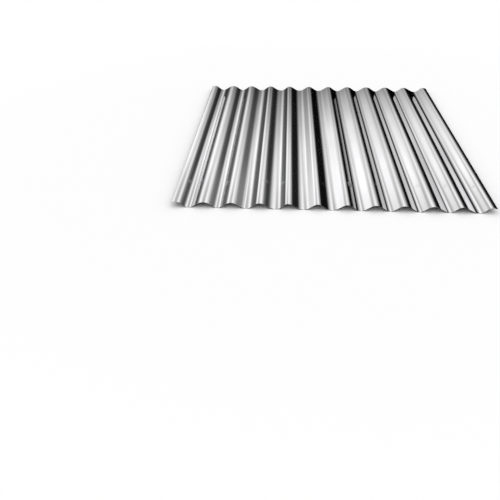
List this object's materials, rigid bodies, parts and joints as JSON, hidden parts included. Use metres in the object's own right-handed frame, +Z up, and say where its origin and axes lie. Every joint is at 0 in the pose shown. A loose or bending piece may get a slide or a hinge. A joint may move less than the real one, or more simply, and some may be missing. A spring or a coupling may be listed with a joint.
{
  "type": "corrugated metal sheet",
  "caption": "Short rectangular corrugated steel roofing and cladding sheet with round waves and square cut ends, lying flat with its troughs on the ground.",
  "frame": {"origin": "middle of the sheet in plan, on the plane that the undersides of the troughs rest on", "axes": "+Y along the waves, which is the sheet's longest side, +X across the waves and +Z up, out of the side that shows on a roof"},
  "size_m": [0.8538, 1, 0.0167],
  "materials": {
    "zinc_coated_steel": "bright zinc coating, nearly a mirror, with fine rolling lines along the waves and soft handling marks"
  },
  "bodies": {
    "root": {"corrugated_sheet": "zinc_coated_steel"}
  },
  "joints": []
}
